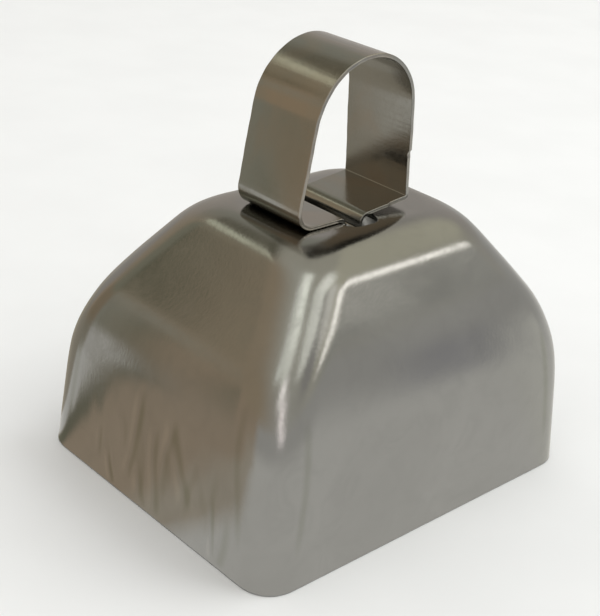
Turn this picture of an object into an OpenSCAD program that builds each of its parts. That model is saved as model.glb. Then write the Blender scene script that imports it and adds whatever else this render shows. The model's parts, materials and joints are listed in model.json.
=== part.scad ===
// Cowbell: drawn sheet-steel bell, bent strip finger loop, riveted swinging clapper.
// Millimetres. Origin at the centre of the rim's plane, +Z up, the wide faces look along -Y and +Y.

/* [Bell] */
// Width of the bell at its rim, along X
base_width = 76; // [66:0.5:90]
// Depth of the bell at its rim, along Y
base_depth = 62; // [54:0.5:74]
// Height of the crown above the rim
crown_height = 49; // [48:0.5:58]
// Thickness of the bell's sheet
sheet = 0.8; // [0.6:0.05:1.2]
// Height of the shoulder, where the steep skirt turns into the roof
shoulder_height = 28.3; // [24:0.1:32]
// How far the skirt leans in at the shoulder on the narrow sides
skirt_lean = 1.0; // [0.4:0.1:3]
// How far the skirt leans in at the shoulder on the wide sides
face_lean = 1.9; // [0.4:0.1:3]
// Width of the crown along X, measured to the sharp edge
crown_width = 39.5; // [36:0.1:48]
// Depth of the crown along Y, measured to the sharp edge
crown_depth = 32.8; // [30:0.1:40]

/* [Bell rounding] */
// Shoulder radius seen from the wide side
shoulder_radius = 23.8; // [16:0.1:26]
// Shoulder radius seen from the narrow side
face_radius = 54; // [25:0.5:58]
// Crown edge radius seen from the wide side
crown_radius = 8.1; // [4:0.1:9]
// Crown edge radius seen from the narrow side
crown_face_radius = 10.3; // [5:0.1:11]
// Plan corner radius at the rim
rim_corner = 5.8; // [4:0.1:9]
// Plan corner radius from the shoulder up
top_corner = 8.1; // [5:0.1:9]

/* [Finger loop] */
// Width of the steel strip
strip_width = 15.4; // [12:0.1:17]
// Thickness of the steel strip
strip = 0.7; // [0.5:0.05:0.9]
// Height of the loop's top over the rim, at the loop's middle
loop_top = 77.2; // [73:0.5:88]
// Distance between the legs of the loop at the crown, middle to middle of the strip
leg_spacing = 26; // [24:0.2:27]
// Outside radius of the loop's right shoulder; the left one takes up the rest of the top
shoulder_bend = 10.6; // [9:0.1:11.5]
// Inward lean of the left leg
left_lean = 8.3; // [4:0.1:9]
// Inward lean of the right leg
right_lean = 5.2; // [3:0.1:7]
// Slope of the loop's top, up towards the right
top_slope = 6.3; // [0:0.1:7]
// Bend radius at the foot of the left leg, to the middle of the strip
heel_radius = 3.2; // [1:0.1:4]
// Rise of the right foot above the crown, away from the slot
foot_rise = 6.5; // [0:0.5:8]
// Radius of the lip that turns down through the slot
lip_radius = 1.7; // [1:0.1:2]

/* [Clapper] */
// Diameter of the clapper ball
ball_diameter = 13; // [9:0.5:14]
// Diameter of the clapper rod
rod_diameter = 2.4; // [2:0.1:3]
// Distance from the rivet down to the ball's centre
swing_length = 32; // [28:0.5:32]
// Diameter of the rivet that carries the clapper
rivet_diameter = 2.2; // [1.8:0.1:2.4]
// Radial running clearance of the clapper's eye on the rivet
eye_clearance = 0.05; // [0.03:0.01:0.1]

/* [Hidden] */
$fn = 64;
eps = 0.01;
corner_steps = 10;
slot_left = -5.4;               // the slot's long edges; both strip ends pass down through it
slot_right = 2.1;
slot_half = 10.2;
loop_x = -2.4;                  // the loop stands a little off the crown's centre, over the slot
left_tongue_x = -4.75;          // mid-planes of the two strip ends in the slot
right_tongue_x = -0.5;
cheek_width = 8;                // the middle of each strip end hangs down and carries the rivet
ear_gap = 0.3;
ear_reach = 5.6;
crown_inside = crown_height - sheet;
rivet_z = crown_inside - 7.2;
rivet_x = (left_tongue_x + right_tongue_x)/2;
rivet_r = rivet_diameter/2;
eye_r = rivet_r + eye_clearance;
rod_r = rod_diameter/2;
ball_r = ball_diameter/2;
ball_z = rivet_z - swing_length;
steel = [0.62, 0.61, 0.58];
dark_steel = [0.45, 0.45, 0.44];

// ---- bell shell ------------------------------------------------------------

// Half profile of one pair of walls: rim half size, shoulder half size, crown half size, radii.
x_wall = [base_width/2, base_width/2 - skirt_lean, crown_width/2, shoulder_radius, crown_radius];
y_wall = [base_depth/2, base_depth/2 - face_lean, crown_depth/2, face_radius, crown_face_radius];

// Angle of the outward normal above the horizontal, on the skirt and on the roof.
function skirt_tilt(w) = atan2(w[0] - w[1], shoulder_height);
function roof_tilt(w) = atan2(w[1] - w[2], crown_height - shoulder_height);

// Centres of the shoulder arc and of the crown-edge arc, as [distance, z].
function shoulder_centre(w) =
    let (a = skirt_tilt(w), b = roof_tilt(w), l = w[3]*tan((b - a)/2))
    [w[1] + l*sin(a) - w[3]*cos(a), shoulder_height - l*cos(a) - w[3]*sin(a)];
function crown_centre(w) =
    [w[2] - w[4]*tan((90 - roof_tilt(w))/2), crown_height - w[4]];

// Half size of the wall at height z, for a surface lying `inset` inside the outer one.
function wall(w, z, inset) =
    let (a = skirt_tilt(w), b = roof_tilt(w), s = shoulder_centre(w), c = crown_centre(w),
         r = w[3] - inset, q = w[4] - inset)
    z < s[1] + r*sin(a) ? s[0] + r*cos(a) + (s[1] + r*sin(a) - z)*tan(a) :
    z < s[1] + r*sin(b) ? s[0] + sqrt(r*r - pow(z - s[1], 2)) :
    z < c[1] + q*sin(b) ? c[0] + q*cos(b) + (c[1] + q*sin(b) - z)*tan(b) :
    c[0] + sqrt(max(0, q*q - pow(z - c[1], 2)));

function corner(z, inset) =
    (z < shoulder_height ? rim_corner + (top_corner - rim_corner)*z/shoulder_height : top_corner)
    - inset;

// Heights of the rings: even up the skirt, then closer and closer to the crown's flat.
function ring_heights(top) =
    let (k = top - crown_face_radius*0.55)
    concat([for (i = [0:17]) k*i/18], [for (i = [0:13]) k + (top - k)*sin(i*90/13)]);

function ring(z, inset) =
    let (a = wall(x_wall, z, inset), b = wall(y_wall, z, inset), r = corner(z, inset))
    [for (q = [[1, 1, 0], [-1, 1, 90], [-1, -1, 180], [1, -1, 270]], i = [0:corner_steps])
        [q[0]*(a - r) + r*cos(q[2] + 90*i/corner_steps),
         q[1]*(b - r) + r*sin(q[2] + 90*i/corner_steps), z]];

// One closed skin: down the inside from the crown, round the rim, up the outside.
module drawn_shell() {
    inner = ring_heights(crown_height - sheet);
    outer = ring_heights(crown_height);
    rings = concat([for (i = [len(inner) - 1:-1:0]) ring(inner[i], sheet)],
                   [for (z = outer) ring(z, 0)]);
    n = 4*(corner_steps + 1);
    m = len(rings);
    points = [for (r = rings, p = r) p];
    sides = [for (i = [0:m - 2], j = [0:n - 1], k = [0, 1])
        let (p = i*n + j, q = i*n + (j + 1)%n)
        k == 0 ? [p, p + n, q] : [q, p + n, q + n]];
    polyhedron(points, concat(sides, [[for (j = [0:n - 1]) j],
        [for (j = [n - 1:-1:0]) (m - 1)*n + j]]), convexity = 8);
}

module slot_outline() {
    r = 2.5;
    translate([slot_left, -slot_half + r]) square([slot_right - slot_left, 2*(slot_half - r)]);
    translate([slot_left + r, -slot_half]) square([slot_right - slot_left - 2*r, 2*slot_half]);
    for (x = [slot_left + r, slot_right - r], y = [-slot_half + r, slot_half - r])
        translate([x, y]) circle(r);
}

module bell_shell() {
    color(steel) difference() {
        drawn_shell();
        translate([0, 0, crown_height - 3]) linear_extrude(6) slot_outline();
    }
}

// ---- bent strip ------------------------------------------------------------

function xy(q) = [q[0], q[1]];
function unit(v) = v/norm(v);
function turn(a, b) = a[0]*b[1] - a[1]*b[0];
function reverse(l) = [for (i = [len(l) - 1:-1:0]) l[i]];

// Bend at point i of a path of [x, z, bend radius]: [centre, start angle, sweep, radius].
function bend(p, i) =
    let (a = unit(xy(p[i - 1]) - xy(p[i])), b = unit(xy(p[i + 1]) - xy(p[i])), r = p[i][2],
         half = acos(a*b)/2, c = xy(p[i]) + unit(a + b)*r/sin(half),
         from = xy(p[i]) + a*r/tan(half) - c)
    [c, atan2(from[1], from[0]), (turn(a, b) > 0 ? -1 : 1)*(180 - 2*half), r];

// One side of the strip: the path moved `off` to the left of its direction.
function side(p, off) =
    let (n = len(p) - 1, d = unit(xy(p[1]) - xy(p[0])), e = unit(xy(p[n]) - xy(p[n - 1])))
    concat([xy(p[0]) + off*[-d[1], d[0]]],
        [for (i = [1:n - 1]) let (b = bend(p, i), m = max(6, ceil(abs(b[2])/3.5)),
              r = b[3] - sign(b[2])*off)
            for (k = [0:m]) b[0] + r*[cos(b[1] + b[2]*k/m), sin(b[1] + b[2]*k/m)]],
        [xy(p[n]) + off*[-e[1], e[0]]]);

module strip_path(p, t) polygon(concat(side(p, t/2), reverse(side(p, -t/2))));

module across(y, width) {
    translate([0, y + width/2, 0]) rotate([90, 0, 0]) linear_extrude(width) children();
}

// Mid-line of the strip above the crown, from one end in the slot to the other.
tongue_start = crown_height - 0.5;
lip_end = crown_inside - 1.3;
ear_z = crown_inside - 0.05 - strip/2;
foot_z = crown_height + strip/2 + 0.1;
right_foot_z = crown_height + strip/2/cos(foot_rise) + 0.25;
crown_line = crown_height + 1;

// Mid-lines of the left leg, the right leg and the loop's top, as x or z at a given place.
function left_leg(z) = loop_x - leg_spacing/2 + (z - crown_line)*tan(left_lean);
function right_leg(z) = loop_x + leg_spacing/2 - (z - crown_line)*tan(right_lean);
function top_line(x) = loop_top - strip/2 + (x - loop_x)*tan(top_slope);
function right_foot(x) = right_foot_z + (x - slot_right)*tan(foot_rise);

// Where a leg meets the top line, and where the right leg meets its foot.
left_knee =
    let (z = (top_line(left_leg(0)))/(1 - tan(left_lean)*tan(top_slope))) [left_leg(z), z];
right_knee =
    let (z = (top_line(right_leg(0)))/(1 + tan(right_lean)*tan(top_slope))) [right_leg(z), z];
right_heel =
    let (z = right_foot(right_leg(0))/(1 + tan(right_lean)*tan(foot_rise))) [right_leg(z), z];

// Tangent length a bend uses up for each millimetre of its radius.
left_take = tan((90 - left_lean - top_slope)/2);
right_take = tan((90 - right_lean + top_slope)/2);
right_bend = shoulder_bend - strip/2;
left_bend = (norm(right_knee - left_knee) - 0.02 - right_bend*right_take)/left_take;

function loop_line() = [
    [left_tongue_x, tongue_start, 0],
    [left_tongue_x, foot_z, 0.65],
    [left_leg(foot_z), foot_z, heel_radius],
    [left_knee[0], left_knee[1], left_bend],
    [right_knee[0], right_knee[1], right_bend],
    [right_heel[0], right_heel[1], 0.65],
    [right_tongue_x, right_foot(right_tongue_x), lip_radius],
    [right_tongue_x, lip_end, 0]];

// The middle of one strip end: hangs below the crown with a rounded, pierced end.
module cheek(x, top) {
    translate([x - strip/2, 0, 0]) rotate([90, 0, 90]) linear_extrude(strip) difference() {
        union() {
            translate([-cheek_width/2, rivet_z]) square([cheek_width, top - rivet_z]);
            translate([0, rivet_z]) circle(cheek_width/2);
        }
        translate([0, rivet_z]) circle(rivet_r);
    }
}

// The sides of the left strip end: two ears clinched outwards under the crown.
module ears() {
    w = (strip_width - cheek_width)/2 - ear_gap;
    x = left_tongue_x;
    for (s = [-1, 1]) across(s*(strip_width/2 - w/2), w)
        strip_path([[x, tongue_start + 0.1, 0], [x, ear_z, 0.55], [x - ear_reach, ear_z, 0]], strip);
}

module handle_strap() {
    color(steel) union() {
        across(0, strip_width) strip_path(loop_line(), strip);
        cheek(left_tongue_x, tongue_start + 0.1);
        cheek(right_tongue_x, lip_end + 0.1);
        ears();
    }
}

// ---- clapper ---------------------------------------------------------------

// Half outline of a domed rivet head seated on x = 0: [height, radius] pairs up the dome.
head_r = 2.1;
head_h = 0.95;
function dome() = [for (k = [0:6]) [0.25 + (head_h - 0.25)*sin(15*k), head_r*cos(15*k)]];

module clapper_rivet() {
    left = left_tongue_x - strip/2;
    right = right_tongue_x + strip/2;
    half = concat([[0, head_r]], dome());
    color(dark_steel) translate([left, 0, rivet_z]) rotate([0, 90, 0]) union() {
        cylinder(r = rivet_r, h = right - left);
        translate([0, 0, right - left]) rotate_extrude() polygon(concat([[0, 0]],
            [for (q = half) [max(0, q[1]), q[0]]]));
        rotate_extrude() polygon(concat([[0, 0]], [for (q = half) [max(0, q[1]), -q[0]]]));
    }
}

eye_outer = 3.1;
eye_thick = 2.6;
peen_z = ball_z - ball_r - 0.02;

module clapper_rod() {
    color(dark_steel) translate([rivet_x, 0, 0]) union() {
        translate([0, 0, rivet_z]) rotate([0, 90, 0]) difference() {
            cylinder(r = eye_outer, h = eye_thick, center = true);
            cylinder(r = eye_r, h = eye_thick + 1, center = true);
        }
        translate([0, 0, peen_z - 0.2])
            cylinder(r = rod_r, h = rivet_z - 2.2 - peen_z + 0.2);
        translate([0, 0, peen_z - 0.65]) cylinder(r1 = 1.5, r2 = 1.9, h = 0.35);
        translate([0, 0, peen_z - 0.3]) cylinder(r = 1.9, h = 0.3);
    }
}

module clapper_ball() {
    color(dark_steel) translate([rivet_x, 0, ball_z]) difference() {
        sphere(ball_r, $fn = 72);
        cylinder(r = rod_r, h = ball_diameter + 2, center = true);
    }
}

bell_shell();
handle_strap();
clapper_rivet();
clapper_rod();
clapper_ball();
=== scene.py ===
"""Looks of the cowbell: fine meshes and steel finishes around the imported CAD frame."""

import json
import math
from collections import namedtuple

import bpy
import numpy as np
from mathutils import Matrix, Vector


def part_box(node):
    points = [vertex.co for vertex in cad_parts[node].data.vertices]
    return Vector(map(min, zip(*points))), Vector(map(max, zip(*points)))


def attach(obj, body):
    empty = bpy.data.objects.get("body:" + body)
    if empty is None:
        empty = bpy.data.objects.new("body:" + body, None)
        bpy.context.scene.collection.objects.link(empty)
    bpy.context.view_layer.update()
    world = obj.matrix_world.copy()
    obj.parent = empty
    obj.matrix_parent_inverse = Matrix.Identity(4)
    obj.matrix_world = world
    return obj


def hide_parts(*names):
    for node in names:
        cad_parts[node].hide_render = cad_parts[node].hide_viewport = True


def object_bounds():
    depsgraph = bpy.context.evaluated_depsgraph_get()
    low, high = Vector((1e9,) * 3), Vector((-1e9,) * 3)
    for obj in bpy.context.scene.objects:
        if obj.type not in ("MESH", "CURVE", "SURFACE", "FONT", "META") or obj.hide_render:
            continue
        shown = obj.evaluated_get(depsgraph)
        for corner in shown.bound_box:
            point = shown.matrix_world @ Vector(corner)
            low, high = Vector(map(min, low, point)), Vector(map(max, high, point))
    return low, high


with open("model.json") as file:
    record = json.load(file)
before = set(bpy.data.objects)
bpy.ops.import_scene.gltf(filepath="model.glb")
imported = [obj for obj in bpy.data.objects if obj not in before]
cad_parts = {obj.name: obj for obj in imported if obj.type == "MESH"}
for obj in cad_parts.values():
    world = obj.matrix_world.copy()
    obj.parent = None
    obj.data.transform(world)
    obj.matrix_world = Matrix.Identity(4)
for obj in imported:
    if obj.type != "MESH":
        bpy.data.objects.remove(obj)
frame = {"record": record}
cad_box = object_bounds()

MM = 0.001


# ---- sizes, in millimetres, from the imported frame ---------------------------

def box_mm(node):
    lo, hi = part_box(node)
    return np.array(lo) / MM, np.array(hi) / MM


SHELL_HI = box_mm("bell_shell")[1]
STRAP_HI = box_mm("handle_strap")[1]
ROD_LO = box_mm("clapper_rod")[0]
BALL_LO, BALL_HI = box_mm("clapper_ball")
SWING_X, _, SWING_Z = (v / MM for v in frame["record"]["behaviour"]["joints"][0]["pos_m"])

# Half sizes of a pair of walls at the rim, the shoulder and the crown, and the bends between.
Wall = namedtuple("Wall", "rim shoulder crown shoulder_radius crown_radius")
X_WALL = Wall(SHELL_HI[0], SHELL_HI[0] - 1.0, 19.75, 23.8, 8.1)
Y_WALL = Wall(SHELL_HI[1], SHELL_HI[1] - 1.9, 16.4, 54.0, 10.3)
CROWN = SHELL_HI[2]
SHOULDER = 28.3
SHEET = 0.8
RIM_CORNER, TOP_CORNER = 5.8, 8.1
RIM_EDGE = 0.2                  # rounding of the trimmed rim
SLOT_X, SLOT_Y, SLOT_R = (-5.4, 2.1), 10.2, 2.5
SLOT_EDGE, SLOT_BURR = 0.22, 0.08   # rounding of the punched slot, outside and inside
STRIP = 0.7
STRIP_HALF = STRAP_HI[1]
RIVET_R = 1.1
WIRE_R = 1.2


# ---- mesh helpers -----------------------------------------------------------

def smoothstep(a, b, x):
    t = np.clip((np.asarray(x, float) - a) / (b - a), 0, 1)
    return t * t * (3 - 2 * t)


def quarter_turn(steps):
    """Angles from 0 to a right angle."""
    return [math.pi / 2 * k / steps for k in range(steps + 1)]


def mesh_object(name, points_mm, faces):
    """A smooth object with its faces outwards."""
    mesh = bpy.data.meshes.new(name)
    mesh.from_pydata([tuple(p) for p in np.asarray(points_mm) * MM], [], faces)
    mesh.validate()
    obj = bpy.data.objects.new(name, mesh)
    bpy.context.scene.collection.objects.link(obj)
    if volume(mesh) < 0:
        mesh.flip_normals()
    mesh.polygons.foreach_set("use_smooth", [True] * len(mesh.polygons))
    mesh.update()
    return obj


def volume(mesh):
    mesh.calc_loop_triangles()
    co = np.empty(len(mesh.vertices) * 3)
    mesh.vertices.foreach_get("co", co)
    tri = np.empty(len(mesh.loop_triangles) * 3, dtype=np.int64)
    mesh.loop_triangles.foreach_get("vertices", tri)
    t = co.reshape(-1, 3)[tri.reshape(-1, 3)]
    return float(np.einsum("ij,ij->i", t[:, 0], np.cross(t[:, 1], t[:, 2])).sum() / 6)


def grid_faces(rows, cols, wrap_rows):
    """Quads of a grid of points whose columns close on themselves."""
    faces = []
    for i in range(rows if wrap_rows else rows - 1):
        a, b = i * cols, ((i + 1) % rows) * cols
        for j in range(cols):
            k = (j + 1) % cols
            faces.append((a + j, a + k, b + k, b + j))
    return faces


def loft(sections):
    """Points and faces of a closed solid through loops of equal count."""
    m, n = len(sections), len(sections[0])
    faces = grid_faces(m, n, False)
    faces.append(tuple(range(n)))
    faces.append(tuple((m - 1) * n + j for j in reversed(range(n))))
    return np.vstack(sections), faces


def lathe(profile, centre, axis, steps=96):
    """Points and faces of a closed (radius, height) profile turned about an axis."""
    axis = Vector(axis).normalized()
    side = axis.orthogonal().normalized()
    other = axis.cross(side)
    points = []
    for r, h in profile:
        for k in range(steps):
            a = 2 * math.pi * k / steps
            p = axis * h + side * (r * math.cos(a)) + other * (r * math.sin(a))
            points.append((centre[0] + p.x, centre[1] + p.y, centre[2] + p.z))
    return points, grid_faces(len(profile), steps, True)


def capped_lathe(profile, centre, axis, steps):
    """The same for a profile that starts and ends at the axis, with a flat cap at each end."""
    points, _ = lathe(profile, centre, axis, steps)
    faces = grid_faces(len(profile), steps, False)
    turn = -1 if profile[-1][1] > profile[0][1] else 1
    faces.append(tuple(range(steps))[::turn])
    faces.append(tuple(range(len(points) - steps, len(points)))[::-turn])
    return points, faces


def joined(name, objects):
    """Joins closed pieces into one closed mesh."""
    base = objects[0]
    for other in objects[1:]:
        join = base.modifiers.new("join", "BOOLEAN")
        join.operation = "UNION"
        join.solver = "EXACT"
        join.object = other
        bpy.context.view_layer.update()
        result = base.evaluated_get(bpy.context.evaluated_depsgraph_get())
        mesh = bpy.data.meshes.new_from_object(result)
        base.modifiers.clear()
        base.data = mesh
        bpy.data.objects.remove(other)
    base.name = base.data.name = name
    base.data.polygons.foreach_set("use_smooth", [True] * len(base.data.polygons))
    return base


# ---- bell shell -------------------------------------------------------------

def wall(w, z, inset):
    """Half size of one pair of walls at height z, `inset` inside the outer surface."""
    skirt = math.atan2(w.rim - w.shoulder, SHOULDER)
    roof = math.atan2(w.shoulder - w.crown, CROWN - SHOULDER)
    reach = w.shoulder_radius * math.tan((roof - skirt) / 2)
    bend_x = w.shoulder + reach * math.sin(skirt) - w.shoulder_radius * math.cos(skirt)
    bend_z = SHOULDER - reach * math.cos(skirt) - w.shoulder_radius * math.sin(skirt)
    edge_x = w.crown - w.crown_radius * math.tan((math.pi / 2 - roof) / 2)
    edge_z = CROWN - w.crown_radius
    r, q = w.shoulder_radius - inset, w.crown_radius - inset
    skirt_top = bend_z + r * math.sin(skirt)
    roof_top = edge_z + q * math.sin(roof)
    if z < skirt_top:
        return bend_x + r * math.cos(skirt) + (skirt_top - z) * math.tan(skirt)
    if z < bend_z + r * math.sin(roof):
        return bend_x + math.sqrt(r * r - (z - bend_z) ** 2)
    if z < roof_top:
        return edge_x + q * math.cos(roof) + (roof_top - z) * math.tan(roof)
    return edge_x + math.sqrt(max(0.0, q * q - (z - edge_z) ** 2))


CORNER_STEPS, SIDE_X_STEPS, SIDE_Y_STEPS = 26, 64, 130
SOFT = 2.35                     # corners run into the flat faces without a kink
SOFT_REACH = 1.15


def rounded_rectangle(half_x, half_y, r, power=2.0, reach=1.0):
    """Loop of points; every loop has the same count on each side and corner."""
    r = min(r * reach, half_x, half_y)
    arc = []
    for t in quarter_turn(CORNER_STEPS):
        c, s = math.cos(t), math.sin(t)
        m = (abs(c) ** power + abs(s) ** power) ** (-1 / power)
        arc.append((r * c * m, r * s * m))
    signs = ((1, 1), (-1, 1), (-1, -1), (1, -1))
    points = []
    for q in range(4):
        corner = [(signs[q][0] * (half_x - r) + x, signs[q][1] * (half_y - r) + y) for x, y in arc]
        arc = [(-y, x) for x, y in arc]
        sx, sy = signs[(q + 1) % 4]
        start, end = corner[-1], (sx * (half_x - r) + arc[0][0], sy * (half_y - r) + arc[0][1])
        steps = SIDE_Y_STEPS if q % 2 else SIDE_X_STEPS
        side = [(start[0] + (end[0] - start[0]) * k / steps, start[1] + (end[1] - start[1]) * k / steps)
                for k in range(1, steps)]
        points += corner + side
    return np.array(points)


def ring(z, inset):
    """Loop round the walls at height z."""
    r = RIM_CORNER + (TOP_CORNER - RIM_CORNER) * min(z / SHOULDER, 1) - inset
    xy = rounded_rectangle(wall(X_WALL, z, inset), wall(Y_WALL, z, inset), r, SOFT, SOFT_REACH)
    return np.column_stack([xy, np.full(len(xy), z)])


def slot_ring(z, grow):
    """Loop round the slot at height z."""
    half = (SLOT_X[1] - SLOT_X[0]) / 2
    xy = rounded_rectangle(half + grow, SLOT_Y + grow, SLOT_R + grow)
    middle = (SLOT_X[0] + SLOT_X[1]) / 2
    return np.column_stack([xy[:, 0] + middle, xy[:, 1], np.full(len(xy), z)])


def shell_rows():
    """Loops from the rim up the outside, over the crown, through the slot and down the inside."""
    turn = quarter_turn(5)
    first_z = 0.45
    fillet_height = Y_WALL.crown_radius * 0.55
    fillet = CROWN - fillet_height
    rows = [ring(RIM_EDGE * (1 - math.cos(t)), RIM_EDGE * (1 - math.sin(t))) for t in turn]
    rows += [ring(z, 0) for z in np.linspace(first_z, fillet, 66)]
    rows += [ring(fillet + (CROWN - fillet) * math.sin(t), 0) for t in quarter_turn(26)[1:]]
    edge, near = rows[-1], slot_ring(CROWN, SLOT_EDGE + 0.15)
    rows += [edge * (1 - t) + near * t for t in np.linspace(0, 1, 12)[1:]]
    rows += [slot_ring(CROWN - SLOT_EDGE * (1 - math.cos(t)), SLOT_EDGE * (1 - math.sin(t)))
             for t in turn]

    under = CROWN - SHEET
    fillet = under - fillet_height
    rows += [slot_ring(under + SLOT_BURR * (1 - math.cos(t)), SLOT_BURR * (1 - math.sin(t)))
             for t in turn[::-1]]
    near, edge = slot_ring(under, 0.25), ring(under, SHEET)
    rows += [near * (1 - t) + edge * t for t in np.linspace(0, 1, 9)]
    rows += [ring(fillet + (under - fillet) * math.sin(t), SHEET) for t in quarter_turn(16)[15:0:-1]]
    rows += [ring(z, SHEET) for z in np.linspace(fillet, first_z, 48)]
    rows += [ring(RIM_EDGE * (1 - math.cos(t)), SHEET - RIM_EDGE * (1 - math.sin(t)))
             for t in turn[::-1]]
    return np.array(rows)


def normals_of(rows):
    du = np.roll(rows, -1, 1) - np.roll(rows, 1, 1)
    dv = np.roll(rows, -1, 0) - np.roll(rows, 1, 0)
    n = np.cross(du, dv)
    return n / np.maximum(np.linalg.norm(n, axis=2, keepdims=True), 1e-12)


def outward(rows):
    """+1 where the grid's normal points away from the axis or up, so both skins move together."""
    n = normals_of(rows)
    s = n[..., 0] * rows[..., 0] + n[..., 1] * rows[..., 1] + n[..., 2] * 12
    return np.where(s >= 0, 1.0, -1.0)


def ripples(rows):
    """Depth of the long shallow waves that drawing leaves in the walls, in millimetres."""
    rng = np.random.default_rng(11)
    x, y, z = rows[..., 0], rows[..., 1], rows[..., 2]
    depth = np.zeros(x.shape)
    narrow = smoothstep(31, 36, abs(x)) * (1 - smoothstep(14, 22, abs(y)))
    wide = smoothstep(24, 29, abs(y)) * (1 - smoothstep(28, 35, abs(x)))
    for along, face, gain in ((y, narrow, 0.8), (x, wide, 0.16)):
        for _ in range(9):
            length = rng.uniform(3.6, 9.5)
            phase = rng.uniform(0, 2 * math.pi, 3)
            lean = rng.uniform(-0.22, 0.22)
            bow = rng.uniform(-0.5, 0.5)
            slow = rng.uniform(0.05, 0.12, 2)
            bend = bow * np.sin(z * 0.21 + phase[1])
            wave = np.sin(2 * math.pi * (along + lean * z) / length + phase[0] + bend)
            drift = along * slow[0] * 2 * math.pi + z * slow[1] * 2 * math.pi
            strength = 0.5 + 0.5 * np.sin(drift + phase[2])
            depth += gain * face * wave * strength * (length / 6.0) * 0.016
    rise = smoothstep(0.4, 3.5, z) * (1 - smoothstep(11, 24, z))
    long_wave = 0.03 * np.sin(x * 0.11 + 0.6) * np.sin(y * 0.13 + 1.1) * np.sin(z * 0.14)
    return depth * rise + long_wave * smoothstep(0.4, 6, z)


PUCKERS = 15                    # in the skirt of each narrow wall
PUCKER_DEPTH = 0.09
RIGHT_SHARE = 0.55              # how strong the right wall's puckers are beside the left wall's


def creases(rows):
    """How strongly each point lies in the drawing puckers of the narrow walls' skirt, -0.5 to 1; it
    dents the walls and also sets the steel's painted shade in the grooves and painted highlight beside
    them.
    """
    rng = np.random.default_rng(23)
    x, y, z = rows[..., 0], rows[..., 1], rows[..., 2]
    total = np.zeros(x.shape)
    for side, share in ((-1, 1.0), (1, RIGHT_SHARE)):
        face = smoothstep(32.5, 35.5, side * x) * (1 - smoothstep(20, 25, abs(y)))
        for k in range(PUCKERS):
            foot = -21 + 34 * (k + rng.uniform(0.1, 0.9)) / PUCKERS
            lean = rng.uniform(-0.30, 0.26)
            bow = rng.uniform(-2.4, 2.4)
            start = rng.uniform(-4, 8)
            end = start + rng.uniform(9, 20)
            width = rng.uniform(0.5, 1.3)
            strength = rng.uniform(0.4, 1.25) * share
            across = (y - foot - lean * z - bow * np.sin(z * 0.19 + k)) / width
            along = smoothstep(start - 2, start + 3, z) * (1 - smoothstep(end - 7, end, z))
            groove = np.exp(-across ** 2) - 0.5 * np.exp(-(across - 2.0) ** 2)
            total += strength * face * along * groove
    # Lines where the drawn corners run into the walls, on both sides of each corner: shallow dents that
    # the steel paints dark, a painted reflection.
    fade = smoothstep(3, 12, z) * (1 - smoothstep(24, 34, z))
    on_narrow = (abs(y) - 24.7 + 0.15 * z, abs(x), 33)
    on_wide = (abs(x) - 32.0 + 0.12 * z, abs(y), 26)
    for at, out, wall_from in (on_narrow, on_wide):
        total += 0.55 * np.exp(-(at / 0.8) ** 2) * fade * smoothstep(wall_from, wall_from + 2, out)
    return np.clip(total, -0.5, 1) * smoothstep(0.3, 1.5, z)


def build_shell():
    rows = shell_rows()
    pucker_and_painted_light = creases(rows)
    depth = ripples(rows) - PUCKER_DEPTH * pucker_and_painted_light
    rows = rows + normals_of(rows) * depth[..., None] * outward(rows)[..., None]
    m, n = rows.shape[:2]
    obj = mesh_object("bell_shell_drawn", rows.reshape(-1, 3), grid_faces(m, n, True))
    # The crease strength also goes to the steel, which paints shade and highlight along it.
    layer = obj.data.attributes.new("pucker_and_painted_light", "FLOAT", "POINT")
    layer.data.foreach_set("value", pucker_and_painted_light.reshape(-1))
    return obj


# ---- finger loop ------------------------------------------------------------

LOOP_X, LEGS = -2.4, 26.0
LEFT_LEAN, RIGHT_LEAN, TOP_SLOPE = math.radians(8.3), math.radians(5.2), math.radians(6.3)
FOOT_RISE = math.radians(6.5)
TOP_Z = 77.2                    # of the top run, carried on to the middle of the legs
LEFT_TONGUE, RIGHT_TONGUE = -4.75, -0.5
TONGUE_START = CROWN - 0.5
LIP_END = CROWN - SHEET - 1.3
TONGUE_BEND, LEFT_FOOT_BEND, TOP_BEND, RIGHT_FOOT_BEND, LIP_BEND = 0.65, 3.2, 10.6, 0.46, 1.7
NICK_X, NICK_Z, NICK_DEPTH = 6, 58.7, 0.34
STEP_Z, STEP_DEPTH = 58.6, 0.24


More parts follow.
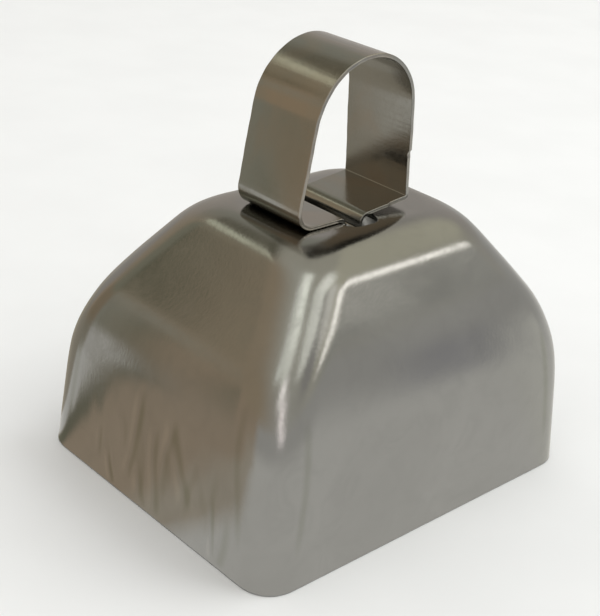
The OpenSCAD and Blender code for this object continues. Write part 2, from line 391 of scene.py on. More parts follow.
def loop_corners():
    """Sharp corners of the strip's mid-line as (x, z, bend radius), left end first."""
    foot_z = CROWN + STRIP / 2 + 0.1
    right_foot_z = CROWN + STRIP / 2 / math.cos(FOOT_RISE) + 0.25
    line = CROWN + 1            # where the legs' distance is measured

    def left(z):
        return LOOP_X - LEGS / 2 + (z - line) * math.tan(LEFT_LEAN)

    def right(z):
        return LOOP_X + LEGS / 2 - (z - line) * math.tan(RIGHT_LEAN)

    def top(x):
        return TOP_Z - STRIP / 2 + (x - LOOP_X) * math.tan(TOP_SLOPE)

    def foot(x):
        return right_foot_z + (x - SLOT_X[1]) * math.tan(FOOT_RISE)

    lz = top(left(0)) / (1 - math.tan(LEFT_LEAN) * math.tan(TOP_SLOPE))
    rz = top(right(0)) / (1 + math.tan(RIGHT_LEAN) * math.tan(TOP_SLOPE))
    hz = foot(right(0)) / (1 + math.tan(RIGHT_LEAN) * math.tan(FOOT_RISE))
    right_bend = TOP_BEND - STRIP / 2
    left_take = math.tan((math.pi / 2 - LEFT_LEAN - TOP_SLOPE) / 2)
    right_take = math.tan((math.pi / 2 - RIGHT_LEAN + TOP_SLOPE) / 2)
    span = math.hypot(right(rz) - left(lz), rz - lz)
    left_bend = (span - 0.02 - right_bend * right_take) / left_take
    return [(LEFT_TONGUE, TONGUE_START, 0), (LEFT_TONGUE, foot_z, TONGUE_BEND),
            (left(foot_z), foot_z, LEFT_FOOT_BEND), (left(lz), lz, left_bend),
            (right(rz), rz, right_bend), (right(hz), hz, RIGHT_FOOT_BEND),
            (RIGHT_TONGUE, foot(RIGHT_TONGUE), LIP_BEND), (RIGHT_TONGUE, LIP_END, 0)]


def path_runs(corners):
    """Straight runs and round bends between sharp corners."""
    runs = []
    pts = [np.array(c[:2], float) for c in corners]
    start = pts[0]
    for i in range(1, len(pts) - 1):
        a, b = pts[i - 1] - pts[i], pts[i + 1] - pts[i]
        a, b = a / np.linalg.norm(a), b / np.linalg.norm(b)
        r = corners[i][2]
        half = math.acos(np.clip(a @ b, -1, 1)) / 2
        tangent = r / math.tan(half)
        p0, p1 = pts[i] + a * tangent, pts[i] + b * tangent
        centre = pts[i] + (a + b) / np.linalg.norm(a + b) * r / math.sin(half)
        runs.append(("line", start, p0))
        runs.append(("arc", centre, p0, p1, math.pi - 2 * half, r))
        start = p1
    runs.append(("line", start, pts[-1]))
    return runs


def sample_path(corners, step):
    """Points and tangents along a path of straight runs and round bends."""
    points, tangents = [], []

    def put(p, t):
        if points and np.linalg.norm(points[-1] - p) < 1e-4:
            return
        points.append(p)
        tangents.append(t)

    for run in path_runs(corners):
        if run[0] == "line":
            _, p, q = run
            length = np.linalg.norm(q - p)
            if length < 1e-6:
                continue
            n = max(1, math.ceil(length / step))
            for k in range(n + 1):
                put(p + (q - p) * k / n, (q - p) / length)
        else:
            _, c, p, q, sweep, r = run
            v = p - c
            turn = 1 if v[0] * (q - c)[1] - v[1] * (q - c)[0] > 0 else -1
            n = max(6, math.ceil(r * sweep / step), math.ceil(math.degrees(sweep) / 5))
            for k in range(n + 1):
                a = turn * sweep * k / n
                ca, sa = math.cos(a), math.sin(a)
                w = np.array([v[0] * ca - v[1] * sa, v[0] * sa + v[1] * ca])
                put(c + w, turn * np.array([-w[1], w[0]]) / r)
    return np.array(points), np.array(tangents)


def strip_section(half, e_top=0.17, e_low=0.12, across=22):
    """Closed section of the strip as (across, offset) pairs: rounded, sheared edges."""
    t = STRIP / 2
    flat = np.linspace(-1, 1, across + 1)
    flat = np.sign(flat) * np.abs(flat) ** 0.8
    quarter = quarter_turn(5)
    out = [(w * (half - e_top - 0.08), t) for w in flat]
    out += [(half - e_top + e_top * math.sin(a), t - e_top + e_top * math.cos(a)) for a in quarter]
    out += [(half - e_low + e_low * math.cos(a), -t + e_low - e_low * math.sin(a)) for a in quarter]
    out += [(w * (half - e_low - 0.08), -t) for w in flat[::-1]]
    out += [(-half + e_low - e_low * math.sin(a), -t + e_low - e_low * math.cos(a)) for a in quarter]
    out += [(-half + e_top - e_top * math.cos(a), t - e_top + e_top * math.sin(a)) for a in quarter]
    return np.array(out)


def sweep_strip(points, tangents, section, y0, shape):
    """Points and faces of a strip section, reshaped as it goes, along a path in the XZ plane."""
    rows = []
    for p, t in zip(points, tangents):
        n = np.array([-t[1], t[0]])
        s = shape(section, p)
        rows.append(np.column_stack([p[0] + n[0] * s[:, 1], y0 + s[:, 0], p[1] + n[1] * s[:, 1]]))
    return loft(rows)


def loop_shape(section, p):
    """The strip's small faults: an uneven shear line, and a nick and a step in the right leg."""
    s = section.copy()
    edge = smoothstep(STRIP_HALF - 0.5, STRIP_HALF, np.abs(s[:, 0]))
    front = (s[:, 0] < 0) * edge
    x, z = p
    wander = 0.035 * math.sin(z * 0.55 + x * 0.23) + 0.02 * math.sin(z * 1.7 + x * 1.1 + 1)
    s[:, 0] -= np.sign(s[:, 0]) * edge * (0.04 + wander)
    if x > NICK_X and z < 70:
        step_in = STEP_DEPTH * float(smoothstep(0.5, -0.3, z - STEP_Z)) if z < 60 else 0.0
        notch = NICK_DEPTH * math.exp(-((z - NICK_Z) / 0.32) ** 2)
        s[:, 0] += front * (step_in + notch)
    return s


def rounded_plate(outline, holes, thick, e=0.1):
    """Points and faces of a flat plate with rounded edges, in its own plane."""
    curve = bpy.data.curves.new("plate", "CURVE")
    curve.dimensions = "2D"
    curve.fill_mode = "BOTH"
    curve.extrude = (thick / 2 - e) * MM
    curve.bevel_depth = e * MM
    curve.bevel_resolution = 3
    curve.offset = -e * MM
    for loop in [outline] + holes:
        spline = curve.splines.new("POLY")
        spline.points.add(len(loop) - 1)
        for point, (u, v) in zip(spline.points, loop):
            point.co = (u * MM, v * MM, 0, 1)
        spline.use_cyclic_u = True
    obj = bpy.data.objects.new("plate", curve)
    bpy.context.scene.collection.objects.link(obj)
    bpy.context.view_layer.update()
    result = obj.evaluated_get(bpy.context.evaluated_depsgraph_get())
    mesh = bpy.data.meshes.new_from_object(result)
    points = [tuple(c / MM for c in v.co) for v in mesh.vertices]
    faces = [tuple(p.vertices) for p in mesh.polygons]
    bpy.data.objects.remove(obj)
    bpy.data.curves.remove(curve)
    bpy.data.meshes.remove(mesh)
    return points, faces


def cheek(x, top):
    """The pierced tongue that hangs under the crown and carries the rivet."""
    w = 4.0
    outline = [(-w, top), (-w, SWING_Z)]
    outline += [(w * math.cos(math.pi + a), SWING_Z + w * math.sin(math.pi + a))
                for a in np.linspace(0, math.pi, 33)[1:-1]]
    outline += [(w, SWING_Z), (w, top)]
    hole = [(RIVET_R * math.cos(a), SWING_Z + RIVET_R * math.sin(a))
            for a in np.linspace(0, 2 * math.pi, 49)[:-1]]
    points, faces = rounded_plate(outline, [hole[::-1]], STRIP)
    return [(x + p[2], p[0], p[1]) for p in points], faces


def ear(sign):
    """A side of the left end, clinched outwards under the crown."""
    width, reach, taper_from = 3.4, 5.6, 1.4
    z = CROWN - SHEET - 0.05 - STRIP / 2
    path = [(LEFT_TONGUE, TONGUE_START + 0.1, 0), (LEFT_TONGUE, z, 0.55), (LEFT_TONGUE - reach, z, 0)]
    points, tangents = sample_path(path, 0.35)
    tip = points[-1][0]

    def taper(section, p):
        s = section.copy()
        s[:, 0] *= 1 - 0.28 * float(smoothstep(taper_from, 0, p[0] - tip)) ** 2
        return s

    section = strip_section(width / 2, 0.12, 0.12, 8)
    return sweep_strip(points, tangents, section, sign * (STRIP_HALF - width / 2), taper)


def build_strap():
    points, tangents = sample_path(loop_corners(), 0.45)
    parts = [sweep_strip(points, tangents, strip_section(STRIP_HALF), 0, loop_shape),
             cheek(LEFT_TONGUE, TONGUE_START + 0.2), cheek(RIGHT_TONGUE, LIP_END + 0.3),
             ear(1), ear(-1)]
    pieces = [mesh_object("strap_part_%d" % k, p, f) for k, (p, f) in enumerate(parts)]
    return joined("handle_strap_bent", pieces)


# ---- clapper ----------------------------------------------------------------

def build_rivet():
    """A pin through both cheeks, with a domed head outside each."""
    left, right = LEFT_TONGUE - STRIP / 2, RIGHT_TONGUE + STRIP / 2
    head, dome, r = 2.1, 0.70, RIVET_R
    domes = [(head * math.sin(a) + 1e-4, 0.25 + dome * math.cos(a)) for a in quarter_turn(12)]
    profile = [(radius, left - rise) for radius, rise in domes]
    profile += [(head, left - 0.12), (head - 0.08, left - 0.01), (r + 0.02, left), (r, left + 0.05)]
    profile += [(r, left + (right - left) * t) for t in (0.15, 0.3, 0.5, 0.7, 0.85)]
    profile += [(r, right - 0.05), (r + 0.02, right), (head - 0.08, right + 0.01), (head, right + 0.12)]
    profile += [(radius, right + rise) for radius, rise in domes[::-1]]
    points, faces = capped_lathe(profile, (0, 0, SWING_Z), (1, 0, 0), 72)
    rng = np.random.default_rng(5)
    dents = rng.normal(size=(7, 3))
    out = []
    for x, y, z in points:                    # the heads keep the marks of the riveting tool
        depth = sum(0.012 * math.sin(2.2 * (c[0] * x + c[1] * y + c[2] * z) + c[0] * 9) for c in dents)
        on_head = math.hypot(y, z - SWING_Z) > 1.3
        grow = 1 - max(0, depth) if on_head else 1
        out.append((x, y * grow, SWING_Z + (z - SWING_Z) * grow))
    return mesh_object("clapper_rivet_domed", out, faces)


def rod_eye():
    """The flattened, pierced top of the rod, with rounded edges."""
    bore, outer, half = 1.15, 3.1, 1.3
    e, f = 0.28, 0.14                         # rounding outside and in the bore
    quarter = quarter_turn(4)
    eye = [(outer - e + e * math.sin(a), half - e + e * math.cos(a)) for a in quarter]
    eye += [(outer - e + e * math.cos(a), -half + e - e * math.sin(a)) for a in quarter]
    eye += [(bore + f - f * math.sin(a), -half + f - f * math.cos(a)) for a in quarter]
    eye += [(bore + f - f * math.cos(a), half - f + f * math.sin(a)) for a in quarter]
    return lathe(eye, (SWING_X, 0, SWING_Z), (1, 0, 0), 96)


def rod_neck():
    """Where the wire widens into the flattened eye."""
    sections = []
    for t in np.linspace(0, 1, 15):
        h = SWING_Z - 6.4 + t * 4.2
        k = float(smoothstep(0, 1, t))
        wy, wx, power = WIRE_R + 1.05 * k, WIRE_R + 0.02 * k, 2 + 1.2 * k
        loop = []
        for q in range(48):
            a = 2 * math.pi * q / 48
            c, s = math.cos(a), math.sin(a)
            m = (abs(c) ** power + abs(s) ** power) ** (-1 / power)
            loop.append((SWING_X + wx * c * m, wy * s * m, h))
        sections.append(np.array(loop))
    return loft(sections)


def rod_wire():
    """The wire from the ball's underside to the neck, slightly wavy above the ball."""
    sections = []
    for h in np.linspace(BALL_LO[2] - 0.15, SWING_Z - 6.2, 90):
        r = WIRE_R - 0.015 * (0.5 + 0.5 * math.sin(h * 1.9)) * (h > BALL_HI[2])
        turns = [2 * math.pi * q / 48 for q in range(48)]
        sections.append(np.array([(SWING_X + r * math.cos(a), r * math.sin(a), h) for a in turns]))
    return loft(sections)


def rod_peen():
    """The hammered end of the wire that holds the ball."""
    low, top = ROD_LO[2], BALL_LO[2] + 0.03
    profile = [(1e-4, top), (0.9, top), (1.7, top - 0.02), (1.88, top - 0.12), (1.9, top - 0.24),
               (1.82, top - 0.42), (1.55, top - 0.58), (1.1, low + 0.035), (0.6, low + 0.01),
               (1e-4, low)]
    return capped_lathe(profile, (SWING_X, 0, 0), (0, 0, 1), 64)


def build_rod():
    parts = (rod_eye(), rod_neck(), rod_wire(), rod_peen())
    pieces = [mesh_object("rod_part_%d" % k, p, f) for k, (p, f) in enumerate(parts)]
    return joined("clapper_rod_forged", pieces)


def build_ball():
    """A ball bored through for the wire, with the bore's edges broken."""
    centre, r = (BALL_LO + BALL_HI) / 2, (BALL_HI[0] - BALL_LO[0]) / 2
    edge = 0.18
    first = math.asin((WIRE_R + edge) / r)
    end = r * math.cos(first)
    rim = [(WIRE_R, end - edge * 1.1), (WIRE_R + edge * 0.3, end - edge * 0.4)]
    profile = list(rim)
    for k in range(65):
        a = first + (math.pi - 2 * first) * k / 64
        profile.append((r * math.sin(a), r * math.cos(a)))
    profile += [(radius, -h) for radius, h in rim[::-1]]
    points, faces = lathe(profile, centre, (0, 0, 1), 128)
    return mesh_object("clapper_ball_bored", points, faces)


# ---- materials --------------------------------------------------------------

class Nodes:
    """Short hand for building a node tree."""

    def __init__(self, tree):
        self.tree = tree

    def add(self, kind, **values):
        node = self.tree.nodes.new(kind)
        for key, value in values.items():
            setattr(node, key, value)
        return node

    def link(self, a, b):
        self.tree.links.new(a, b)

    def math(self, op, a, b=None, clamp=False):
        node = self.add("ShaderNodeMath", operation=op, use_clamp=clamp)
        for socket, value in zip(node.inputs, (a, b)):
            if value is None:
                continue
            if isinstance(value, (int, float)):
                socket.default_value = value
            else:
                self.link(value, socket)
        return node.outputs[0]

    def ramp(self, value, a, b, low=0.0, high=1.0, smooth=True):
        kind = "SMOOTHSTEP" if smooth else "LINEAR"
        node = self.add("ShaderNodeMapRange", interpolation_type=kind)
        self.link(value, node.inputs["Value"])
        for key, v in (("From Min", a), ("From Max", b), ("To Min", low), ("To Max", high)):
            node.inputs[key].default_value = v
        return node.outputs[0]

    def noise(self, vector, scale, detail=2.0, rough=0.5, distort=0.0):
        node = self.add("ShaderNodeTexNoise")
        self.link(vector, node.inputs["Vector"])
        node.inputs["Scale"].default_value = scale
        node.inputs["Detail"].default_value = detail
        node.inputs["Roughness"].default_value = rough
        node.inputs["Distortion"].default_value = distort
        return node.outputs["Fac"]

    def stretched(self, vector, scale):
        node = self.add("ShaderNodeMapping")
        self.link(vector, node.inputs["Vector"])
        node.inputs["Scale"].default_value = scale
        return node.outputs[0]

    def mix(self, fac, a, b):
        node = self.add("ShaderNodeMix", data_type="RGBA")
        for socket, value in ((node.inputs[0], fac), (node.inputs[6], a), (node.inputs[7], b)):
            if isinstance(value, (tuple, float)):
                socket.default_value = (*value, 1) if isinstance(value, tuple) else value
            else:
                self.link(value, socket)
        return node.outputs[2]


# Painted shade for the puckers' grooves and painted highlight for beside them.
PUCKER_PAINTED_SHADE, PUCKER_PAINTED_HIGHLIGHT = (0.215, 0.222, 0.180), (0.44, 0.43, 0.41)
BUMP_HEIGHT = 0.014 * MM


def steel(name, tint, dark, rough, grain=1.0, lines=(1, 1, 0.03), line_depth=1.0,
          pits=0.0, stain=None, marks=None):
    """Bright steel: fine grain, rolling or drawing lines, smudges and hairline scratches.

    `lines` holds a small number along the axis that the lines follow. `stain` is a second
    colour in blots, and `marks` names a point attribute along which painted shade darkens
    the steel and painted highlight lightens it.
    """
    mat = bpy.data.materials.new(name)
    mat.use_nodes = True
    n = Nodes(mat.node_tree)
    bsdf = mat.node_tree.nodes["Principled BSDF"]
    bsdf.inputs["Metallic"].default_value = 1.0
    pos = n.add("ShaderNodeTexCoord").outputs["Object"]
    cloud = n.noise(pos, 55, 4, 0.55, 0.6)
    smudge = n.ramp(n.noise(pos, 140, 5, 0.62, 1.2), 0.42, 0.72)
    fine = n.noise(pos, 5200, 2, 0.6)
    coarse = n.noise(pos, 1900, 3, 0.6)
    drawn = n.noise(n.stretched(pos, lines), 1400, 3, 0.55)
    hair = n.noise(n.stretched(pos, (0.09, 1, 0.6)), 900, 2, 0.5, 1.5)
    scratch = n.ramp(n.math("ABSOLUTE", n.math("SUBTRACT", hair, 0.5)), 0.0, 0.006, 1.0, 0.0)
    scratch = n.math("MULTIPLY", scratch, n.ramp(n.noise(pos, 90, 2), 0.60, 0.72))

    colour = n.mix(n.ramp(cloud, 0.3, 0.7), dark, tint)
    colour = n.mix(n.math("MULTIPLY", smudge, 0.35), colour, tuple(0.86 * c for c in tint))
    if stain:
        blot = n.ramp(n.noise(n.stretched(pos, (1, 0.6, 0.5)), 120, 3, 0.5, 0.8), 0.45, 0.66)
        colour = n.mix(blot, colour, stain)
    # Painted shade in the grooves and painted highlight beside them, along the attribute.
    if marks:
        painted_light_mark = n.add("ShaderNodeAttribute", attribute_name=marks).outputs["Fac"]
        colour = n.mix(n.ramp(painted_light_mark, 0.1, 0.9, 0, 0.64, False), colour, PUCKER_PAINTED_SHADE)
        colour = n.mix(n.ramp(painted_light_mark, -0.1, -0.5, 0, 0.45, False), colour, PUCKER_PAINTED_HIGHLIGHT)
    n.link(colour, bsdf.inputs["Base Color"])

    r = n.ramp(cloud, 0.3, 0.7, rough - 0.025, rough + 0.03)
    r = n.math("ADD", r, n.math("MULTIPLY", smudge, 0.05))
    r = n.math("ADD", r, n.math("MULTIPLY", n.math("SUBTRACT", coarse, 0.5), 0.10))
    r = n.math("ADD", r, n.math("MULTIPLY", scratch, 0.05))
    n.link(r, bsdf.inputs["Roughness"])

    height = n.math("MULTIPLY", fine, 0.35 * grain)
    height = n.math("ADD", height, n.math("MULTIPLY", coarse, 0.8 * grain))
    height = n.math("ADD", height, n.math("MULTIPLY", drawn, 0.8 * line_depth))
    height = n.math("SUBTRACT", height, n.math("MULTIPLY", scratch, 0.15))
    if pits:
        cell = n.add("ShaderNodeTexVoronoi", feature="F1")
        n.link(pos, cell.inputs["Vector"])
        cell.inputs["Scale"].default_value = 1300
        pit = n.ramp(cell.outputs["Distance"], 0.0, 0.35, 1, 0)
        height = n.math("SUBTRACT", height, n.math("MULTIPLY", pit, pits))
    bump = n.add("ShaderNodeBump")
    bump.inputs["Strength"].default_value = 1.0
    bump.inputs["Distance"].default_value = BUMP_HEIGHT
    n.link(height, bump.inputs["Height"])
    n.link(bump.outputs[0], bsdf.inputs["Normal"])
    return mat


# ---- studio -----------------------------------------------------------------

def direction(azimuth, elevation):
    """Unit vector away from the bell; azimuth 0 is the front wide face, 90 the right side."""
    a, e = math.radians(azimuth), math.radians(elevation)
    return Vector((math.sin(a) * math.cos(e), -math.cos(a) * math.cos(e), math.sin(e)))


# What the steel mirrors above the table, each patch laid over those before it: azimuth,
# elevation, half width and half height in degrees, softness, squareness, colour.
ROOM_WALLS = (
    (90, 60, 75, 40, 0.4, 2, (0.65, 0.625, 0.52)),          # grey wall on the right
    (140, 18, 50, 26, 0.5, 2, (0.55, 0.51, 0.47)),
    (165, 42, 32, 14, 0.4, 2, (0.41, 0.41, 0.35)),
    (-125, 12, 62, 46, 0.35, 2, (0.52, 0.42, 0.295)),       # brown room behind on the left
    (-155, 25, 9, 13, 0.5, 2, (0.36, 0.35, 0.26)),
    (-146, 27.5, 3.8, 3.4, 0.4, 2, (0.20, 0.195, 0.13)),
    (-141, 19, 3.5, 4.5, 0.5, 2, (0.46, 0.455, 0.38)),
    (-178, 50, 16, 6, 0.4, 2, (0.20, 0.19, 0.135)),         # dark beam behind
    (66, 46, 34, 11, 0.3, 4, (0.80, 0.77, 0.61)),
    (8, 38, 7, 12, 0.4, 4, (0.47, 0.455, 0.43)),
    (48, 18.5, 15, 2.6, 0.5, 4, (0.50, 0.50, 0.465)),
)
ROOM_LAMPS = (
    (44, 28.0, 16, 3.2, 0.3, 4, (2.85, 2.78, 2.60)),        # tube along the front crown edge
    (27, 41, 7, 6, 0.4, 4, (1.25, 1.22, 1.12)),
    (20, 58, 15, 8, 0.4, 4, (1.75, 1.76, 1.60)),
    (-5, 54, 6, 8, 0.4, 4, (1.40, 1.41, 1.28)),
    (-50, 68, 6, 9, 0.5, 4, (2.15, 2.20, 1.98)),            # panels over the near corner
    (-34, 80, 6, 4, 0.5, 4, (1.90, 1.94, 1.75)),
    (-50, 57, 5, 6, 0.6, 4, (1.30, 1.32, 1.18)),
    (-42, 43, 5, 9, 0.5, 4, (2.20, 2.10, 2.03)),
    (-33, 26, 5, 11, 0.5, 4, (2.05, 1.90, 1.86)),
    (-70, 61, 4, 9, 0.5, 4, (1.35, 1.37, 1.25)),
    (-161, 42.3, 9, 2.0, 0.5, 4, (1.15, 1.18, 0.92)),       # strip along the left crown edge
)


def room(n, ray):
    """Colour of the surroundings along a direction."""

    def dot(vector):
        node = n.add("ShaderNodeVectorMath", operation="DOT_PRODUCT")
        n.link(ray, node.inputs[0])
        node.inputs[1].default_value = vector
        return node.outputs["Value"]

    def reach(axis, half_angle, power):
        along = n.math("DIVIDE", n.math("ABSOLUTE", dot(axis)), math.sin(math.radians(half_angle)))
        return n.math("POWER", along, power)

    def patch(azimuth, elevation, half_width, half_height, soft, power):
        """1 inside a rounded patch of the room, 0 outside, with a soft edge."""
        ahead = direction(azimuth, elevation)
        side = direction(azimuth + 90, 0)
        d = n.math("ADD", reach(side, half_width, power), reach(side.cross(ahead), half_height, power))
        inside = n.ramp(n.math("POWER", d, 1 / power), 1 - soft, 1 + soft, 1, 0)
        return n.math("MULTIPLY", inside, n.math("GREATER_THAN", dot(ahead), 0.0))

    height = dot((0, 0, 1))
    colour = n.mix(n.ramp(height, 0.25, 0.5), (0.61, 0.60, 0.555), (0.56, 0.55, 0.50))
    colour = n.mix(n.ramp(height, 0.5, 0.95), colour, (0.70, 0.69, 0.60))
    for *place, shade in ROOM_WALLS + ROOM_LAMPS:
        colour = n.mix(patch(*place), colour, shade)
    return colour


def build_world():
    """The room as mirrored in the steel; camera and matt floor see only plain pale paper."""
    world = bpy.data.worlds.new("studio")
    bpy.context.scene.world = world
    world.use_nodes = True
    n = Nodes(world.node_tree)
    ray = n.add("ShaderNodeTexCoord").outputs["Generated"]
    path = n.add("ShaderNodeLightPath")
    mirrored = world.node_tree.nodes["Background"]
    n.link(room(n, ray), mirrored.inputs["Color"])
    plain = n.add("ShaderNodeBackground")
    plain.inputs["Color"].default_value = (0.93, 0.93, 0.92, 1)
    pick = n.add("ShaderNodeMixShader")
    unmirrored = n.math("MAXIMUM", path.outputs["Is Camera Ray"], path.outputs["Is Diffuse Ray"])
    n.link(unmirrored, pick.inputs[0])
    n.link(mirrored.outputs[0], pick.inputs[1])
    n.link(plain.outputs[0], pick.inputs[2])
    n.link(pick.outputs[0], world.node_tree.nodes["World Output"].inputs["Surface"])


# The card that the steel mirrors instead of the table, in sectors round the bell: first and
# last azimuth, softness in degrees, colour.
CARD_RADIUS, CARD_HEIGHT, CARD_LOW = 0.15, 0.07, 0.0003
# The darkest colour here is painted shade for the card inside the bell's footprint.
PAPER, SHADOW, UNDER_BELL_PAINTED_SHADE = (0.82, 0.808, 0.76), (0.53, 0.43, 0.32), (0.09, 0.09, 0.08)
PAPER_SECTORS = (
    # All rows are painted shadow on the card: the bell's shadow, its lighter middle, its dark edge, and
    # the shade behind the bell.
    (-128, -83, 2, SHADOW),                                 # the bell's own shadow, to the left
    (-96, -80, 7, (0.60, 0.54, 0.44)),
    (-128.2, -124.2, 1.2, (0.24, 0.235, 0.17)),
    (-182, -136.5, 1.5, (0.44, 0.40, 0.32)),
    (142, 181, 6, (0.46, 0.43, 0.36)),
)
ABOVE, ABOVE_LEFT, ABOVE_BACK = (0.61, 0.60, 0.565), (0.54, 0.425, 0.305), (0.50, 0.465, 0.42)
ABOVE_SECTORS = (
    (-155, -138, 1, (0.42, 0.335, 0.23)),
    (-138, -130.5, 1, (0.43, 0.42, 0.345)),                 # a pale opening between dark posts
    (-131, -127.5, 1.5, (0.29, 0.28, 0.20)),
    (-118.5, -114.5, 1.2, (0.27, 0.265, 0.19)),
)


def surround_material():
    """Paper lit from the right, with the bell's brown shadow on the left and a darker room beyond."""
    mat = bpy.data.materials.new("surround_card")
    mat.use_nodes = True
    mat.node_tree.nodes.clear()
    n = Nodes(mat.node_tree)
    axes = n.add("ShaderNodeSeparateXYZ")
    n.link(n.add("ShaderNodeNewGeometry").outputs["Position"], axes.inputs[0])
    x, y, z = axes.outputs
    azimuth = n.math("ARCTAN2", x, n.math("MULTIPLY", y, -1.0))
    azimuth = n.math("MULTIPLY", azimuth, 180 / math.pi)

    def sector(first, last, soft):
        start = n.ramp(azimuth, first - soft, first + soft)
        return n.math("MULTIPLY", start, n.ramp(azimuth, last - soft, last + soft, 1, 0))

    def across_bell(axis, half):
        share = n.math("MULTIPLY", axis, 1 / ((half - SHEET) * MM))
        return n.math("POWER", n.math("ABSOLUTE", share), 8)

    paper = PAPER
    for *span, shade in PAPER_SECTORS:
        paper = n.mix(sector(*span), paper, shade)
    # Painted shade on the card where it lies under the bell.
    under = n.math("ADD", across_bell(x, SHELL_HI[0]), across_bell(y, SHELL_HI[1]))
    paper = n.mix(n.ramp(under, 0.35, 0.75, 1, 0), paper, UNDER_BELL_PAINTED_SHADE)

    left = sector(-166, -78, 3)
    back = n.math("ADD", sector(118, 181, 8), sector(-181, -160, 3), True)
    above = n.mix(left, ABOVE, ABOVE_LEFT)
    for *span, shade in ABOVE_SECTORS:
        above = n.mix(sector(*span), above, shade)
    above = n.mix(back, above, ABOVE_BACK)

    rise = n.mix(left, n.ramp(z, 0.002, 0.042), n.ramp(z, 0.012, 0.030))
    rise = n.mix(sector(-127, -78, 2), rise, n.ramp(z, -0.010, 0.070))
    colour = n.mix(rise, paper, above)
    band = n.math("MULTIPLY", n.ramp(z, 0.006, 0.020), n.ramp(z, 0.036, 0.056, 1, 0))
    colour = n.mix(n.math("MULTIPLY", sector(34, 43.5, 2.5), band), colour, (0.45, 0.445, 0.46))
    bright = n.math("MULTIPLY", sector(45.5, 60, 2), n.ramp(z, 0.030, 0.045, 1, 0))
    colour = n.mix(bright, colour, (0.86, 0.85, 0.78))
    streak = n.math("MULTIPLY", sector(-39, -29, 2), n.ramp(z, 0.040, 0.062))
    colour = n.mix(streak, colour, (1.75, 1.62, 1.60))
    glow = n.add("ShaderNodeEmission")
    n.link(colour, glow.inputs["Color"])
    n.link(glow.outputs[0], n.add("ShaderNodeOutputMaterial").inputs["Surface"])
    return mat


def stage_mesh(name, points, faces, material):
    """A plain mesh, in metres, that isn't part of the object."""
    mesh = bpy.data.meshes.new(name)
    mesh.from_pydata(points, [], faces)
    mesh.materials.append(material)
    obj = bpy.data.objects.new(name, mesh)
    bpy.context.scene.collection.objects.link(obj)
    return obj


def build_surround(steps=96):
    """Card under and round the bell that only reflections see."""
    angles = [2 * math.pi * k / steps for k in range(steps)]
    around = [(CARD_RADIUS * math.cos(a), CARD_RADIUS * math.sin(a)) for a in angles]
    points = [(x, y, h) for h in (CARD_LOW, CARD_HEIGHT) for x, y in around]
    faces = [(k, (k + 1) % steps, steps + (k + 1) % steps, steps + k) for k in range(steps)]
    faces.append(tuple(range(steps)))
    obj = stage_mesh("surround", points, faces, surround_material())
    for ray_kind in ("camera", "diffuse", "shadow", "transmission", "volume_scatter"):
        setattr(obj, "visible_" + ray_kind, False)


def floor_material():
    """Matt pale paper that can be seen through from below."""
    mat = bpy.data.materials.new("floor_paper")
    mat.use_nodes = True
    n = Nodes(mat.node_tree)
    bsdf = mat.node_tree.nodes["Principled BSDF"]
    pos = n.add("ShaderNodeTexCoord").outputs["Object"]
    cloud = n.ramp(n.noise(pos, 30, 4), 0.3, 0.7)
    n.link(n.mix(cloud, (0.80, 0.80, 0.79), (0.82, 0.82, 0.81)), bsdf.inputs["Base Color"])
    bsdf.inputs["Roughness"].default_value = 0.9
    bsdf.inputs["Specular IOR Level"].default_value = 0.1
    seen = n.add("ShaderNodeMixShader")
    n.link(n.add("ShaderNodeNewGeometry").outputs["Backfacing"], seen.inputs[0])
    n.link(bsdf.outputs[0], seen.inputs[1])
    n.link(n.add("ShaderNodeBsdfTransparent").outputs[0], seen.inputs[2])
    n.link(seen.outputs[0], mat.node_tree.nodes["Material Output"].inputs["Surface"])
    return mat


def build_floor(half=4.0):
    corners = [(-half, -half, 0), (half, -half, 0), (half, half, 0), (-half, half, 0)]
    stage_mesh("floor", corners, [(0, 1, 2, 3)], floor_material())


def area_light(name, azimuth, elevation, distance, size, power, colour):
    """A soft round lamp aimed at the bell, without a reflection of its own."""
    light = bpy.data.lights.new(name, "AREA")
    light.shape = "DISK"
    light.size = size
    light.energy = power
    light.color = colour
    obj = bpy.data.objects.new(name, light)
    bpy.context.scene.collection.objects.link(obj)
    obj.location = direction(azimuth, elevation) * distance
    obj.rotation_euler = (-direction(azimuth, elevation)).to_track_quat("-Z", "Y").to_euler()
    obj.visible_glossy = False


VIEW_AZIMUTH, VIEW_ELEVATION, VIEW_ROLL = -44.652, 25.697, 5.365
VIEW_DISTANCE, VIEW_LENS = 0.227661, 74.95      # metres, and millimetres on a 36 mm sensor
AIM_FROM_MIDDLE = Vector((-4.54, 1.03, -9.12)) * MM


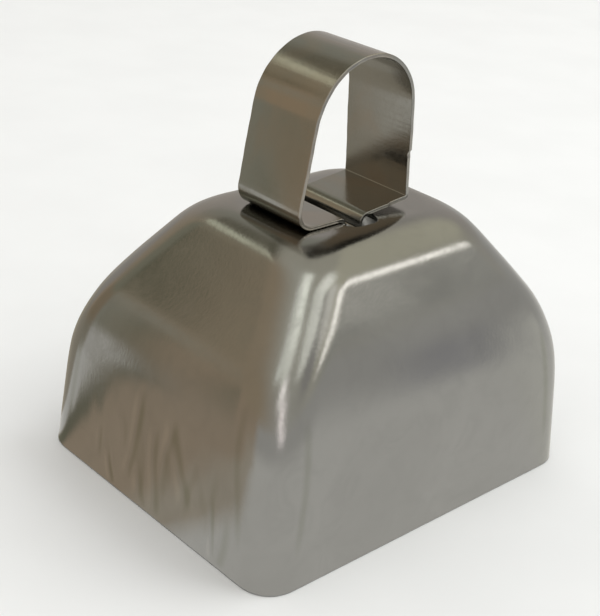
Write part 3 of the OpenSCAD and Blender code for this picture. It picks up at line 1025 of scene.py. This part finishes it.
def build_camera():
    """At the photograph's angle, with its slight roll."""
    lo, hi = cad_box
    back = direction(VIEW_AZIMUTH, VIEW_ELEVATION)
    place = (Vector(lo) + Vector(hi)) / 2 + AIM_FROM_MIDDLE + back * VIEW_DISTANCE
    level = (-back).cross(Vector((0, 0, 1))).normalized()
    upright = level.cross(-back)
    roll = math.radians(VIEW_ROLL)
    right = level * math.cos(roll) + upright * math.sin(roll)
    up = -level * math.sin(roll) + upright * math.cos(roll)
    data = bpy.data.cameras.new("camera")
    data.sensor_width = 36
    data.lens = VIEW_LENS
    data.clip_start = 0.01
    data.clip_end = 30
    cam = bpy.data.objects.new("camera", data)
    bpy.context.scene.collection.objects.link(cam)
    cam.matrix_world = Matrix.Translation(place) @ Matrix((right, up, back)).transposed().to_4x4()
    bpy.context.scene.camera = cam


# ---- put together -----------------------------------------------------------

# Builder, CAD node, body, and the finish that is named after the record's material slot.
PIECES = (
    (build_shell, "bell_shell", "bell",
     dict(name="bell_steel", tint=(0.346, 0.344, 0.334), dark=(0.324, 0.322, 0.312), rough=0.150,
          line_depth=0.4, marks="pucker_and_painted_light")),
    (build_strap, "handle_strap", "bell",
     dict(name="strip_steel", tint=(0.350, 0.346, 0.328), dark=(0.318, 0.318, 0.300), rough=0.17,
          grain=0.8, lines=(1, 0.03, 1), line_depth=1.3, stain=(0.350, 0.325, 0.292))),
    (build_rivet, "clapper_rivet", "bell",
     dict(name="rivet_steel", tint=(0.36, 0.36, 0.35), dark=(0.29, 0.29, 0.28), rough=0.24,
          grain=1.5, lines=(1, 1, 1), pits=0.5)),
    (build_rod, "clapper_rod", "clapper",
     dict(name="rod_steel", tint=(0.34, 0.34, 0.33), dark=(0.27, 0.27, 0.265), rough=0.27,
          grain=1.5, lines=(1, 1, 0.02), line_depth=2.0, pits=0.5)),
    (build_ball, "clapper_ball", "clapper",
     dict(name="ball_steel", tint=(0.38, 0.38, 0.38), dark=(0.31, 0.31, 0.31), rough=0.20,
          grain=1.3, lines=(1, 1, 1), line_depth=0.6, pits=0.9)),
)

for build, node, body, finish in PIECES:
    piece = build()
    piece.data.materials.clear()
    piece.data.materials.append(steel(**finish))
    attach(piece, body)
    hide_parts(node)

build_floor()
build_world()
build_surround()
area_light("key", 55, 55, 0.9, 0.60, 2.6, (0.95, 0.98, 1.0))
build_camera()
bpy.context.scene.view_settings.view_transform = "Standard"
